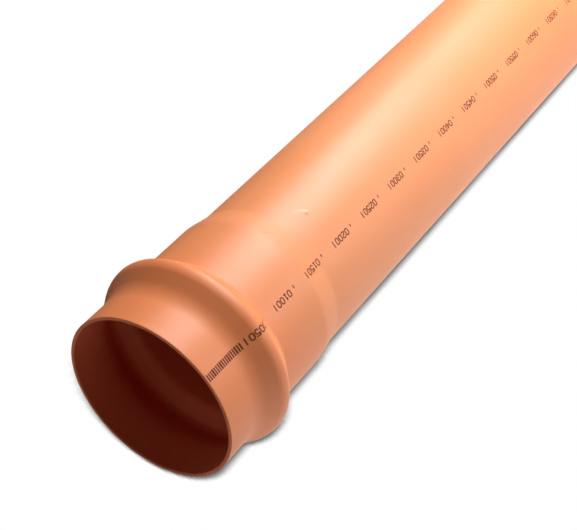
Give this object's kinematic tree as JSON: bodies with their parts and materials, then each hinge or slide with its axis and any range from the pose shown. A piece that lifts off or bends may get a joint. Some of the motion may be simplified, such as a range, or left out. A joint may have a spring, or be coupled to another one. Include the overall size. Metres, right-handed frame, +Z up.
{
  "type": "socketed drain pipe",
  "caption": "Orange PVC-U sewer pipe lying down: a straight tube with a ring-seal socket drawn at one end and a chamfered spigot at the other.",
  "frame": {"origin": "on the floor, under the middle of the pipe's bounding box", "axes": "+X from the socket's mouth to the spigot, +Z up; the axis falls 0.85 degrees towards +X, because the pipe lies on its bead and its spigot end"},
  "size_m": [1.1508, 0.1918, 0.1919],
  "materials": {
    "orange_pvc": "extruded PVC-U, orange-brown, satin, with faint lengthwise lines from the die",
    "marking_ink": "dark brown ink-jet marking, dried thin on the plastic"
  },
  "bodies": {
    "root": {"drain_pipe": "orange_pvc"}
  },
  "joints": []
}
